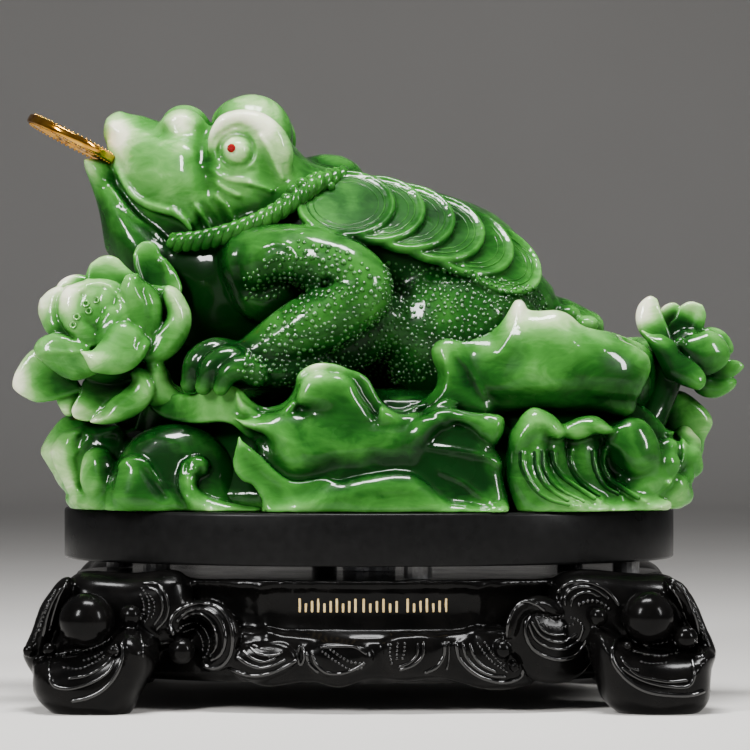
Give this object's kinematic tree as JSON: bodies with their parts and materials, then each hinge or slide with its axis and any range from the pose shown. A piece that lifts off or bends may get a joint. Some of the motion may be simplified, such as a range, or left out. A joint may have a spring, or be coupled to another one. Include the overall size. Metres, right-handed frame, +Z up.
{
  "type": "money toad figure on a turning stand",
  "caption": "Jade-coloured money toad with a coin in its mouth, on lotus leaves and waves, on an oval disc that turns on a carved black stand.",
  "frame": {"origin": "bottom centre of the bounding box, on the surface that the four feet stand on", "axes": "+X from the toad's head towards its tail along the length, -Y the front that faces the viewer, +Z up"},
  "size_m": [0.3512, 0.2267, 0.297],
  "materials": {
    "jade_resin": "polished translucent green resin with pale rims",
    "gold_coin": "polished gold plate",
    "red_stone": "faceted red paste stone",
    "black_disc": "satin black lacquer",
    "black_stand": "satin black lacquer over carving",
    "swivel_steel": "turned steel",
    "glide_pad": "moulded rubber"
  },
  "bodies": {
    "stand": {"carved_stand": "black_stand", "swivel_lower_plate": "swivel_steel", "glide_pad_1": "glide_pad", "glide_pad_2": "glide_pad", "glide_pad_3": "glide_pad", "glide_pad_4": "glide_pad", "glide_pad_5": "glide_pad", "glide_pad_6": "glide_pad"},
    "turntable": {"turning_disc": "black_disc", "swivel_upper_plate": "swivel_steel", "jade_toad_casting": "jade_resin", "mouth_coin": "gold_coin", "near_eye_gem": "red_stone", "far_eye_gem": "red_stone"}
  },
  "joints": [
    {"name": "turntable_turn", "type": "hinge", "parent": "stand", "child": "turntable", "pos_m": [-0.005, 0, 0.065], "axis": [0, 0, 1], "continuous": true}
  ]
}
